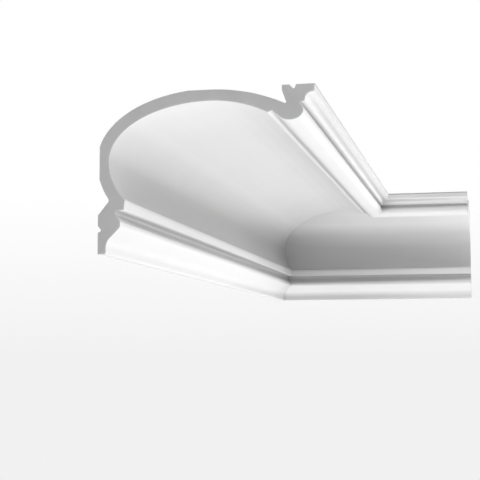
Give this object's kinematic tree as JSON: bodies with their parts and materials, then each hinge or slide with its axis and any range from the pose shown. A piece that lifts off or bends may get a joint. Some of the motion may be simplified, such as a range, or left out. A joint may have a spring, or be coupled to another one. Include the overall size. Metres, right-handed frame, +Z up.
{
  "type": "cornice moulding section",
  "caption": "Mitred inside corner of a hollow-backed cove cornice, with bead and quarter hollow at its ceiling edge and fillet and ogee at its wall edge.",
  "frame": {"origin": "middle of the corner's box, on the level of the moulding's underside", "axes": "+Z up to the ceiling, +Y along the long left length towards the corner of the room, +X along the short right length away from the corner"},
  "size_m": [0.33, 0.99, 0.1555],
  "materials": {
    "left_primer": "white primer with a fine stipple, grey cut foam at the sawn end",
    "right_primer": "white primer with a fine stipple, grey cut foam at the sawn end"
  },
  "bodies": {
    "root": {"left_length": "left_primer", "right_length": "right_primer"}
  },
  "joints": []
}
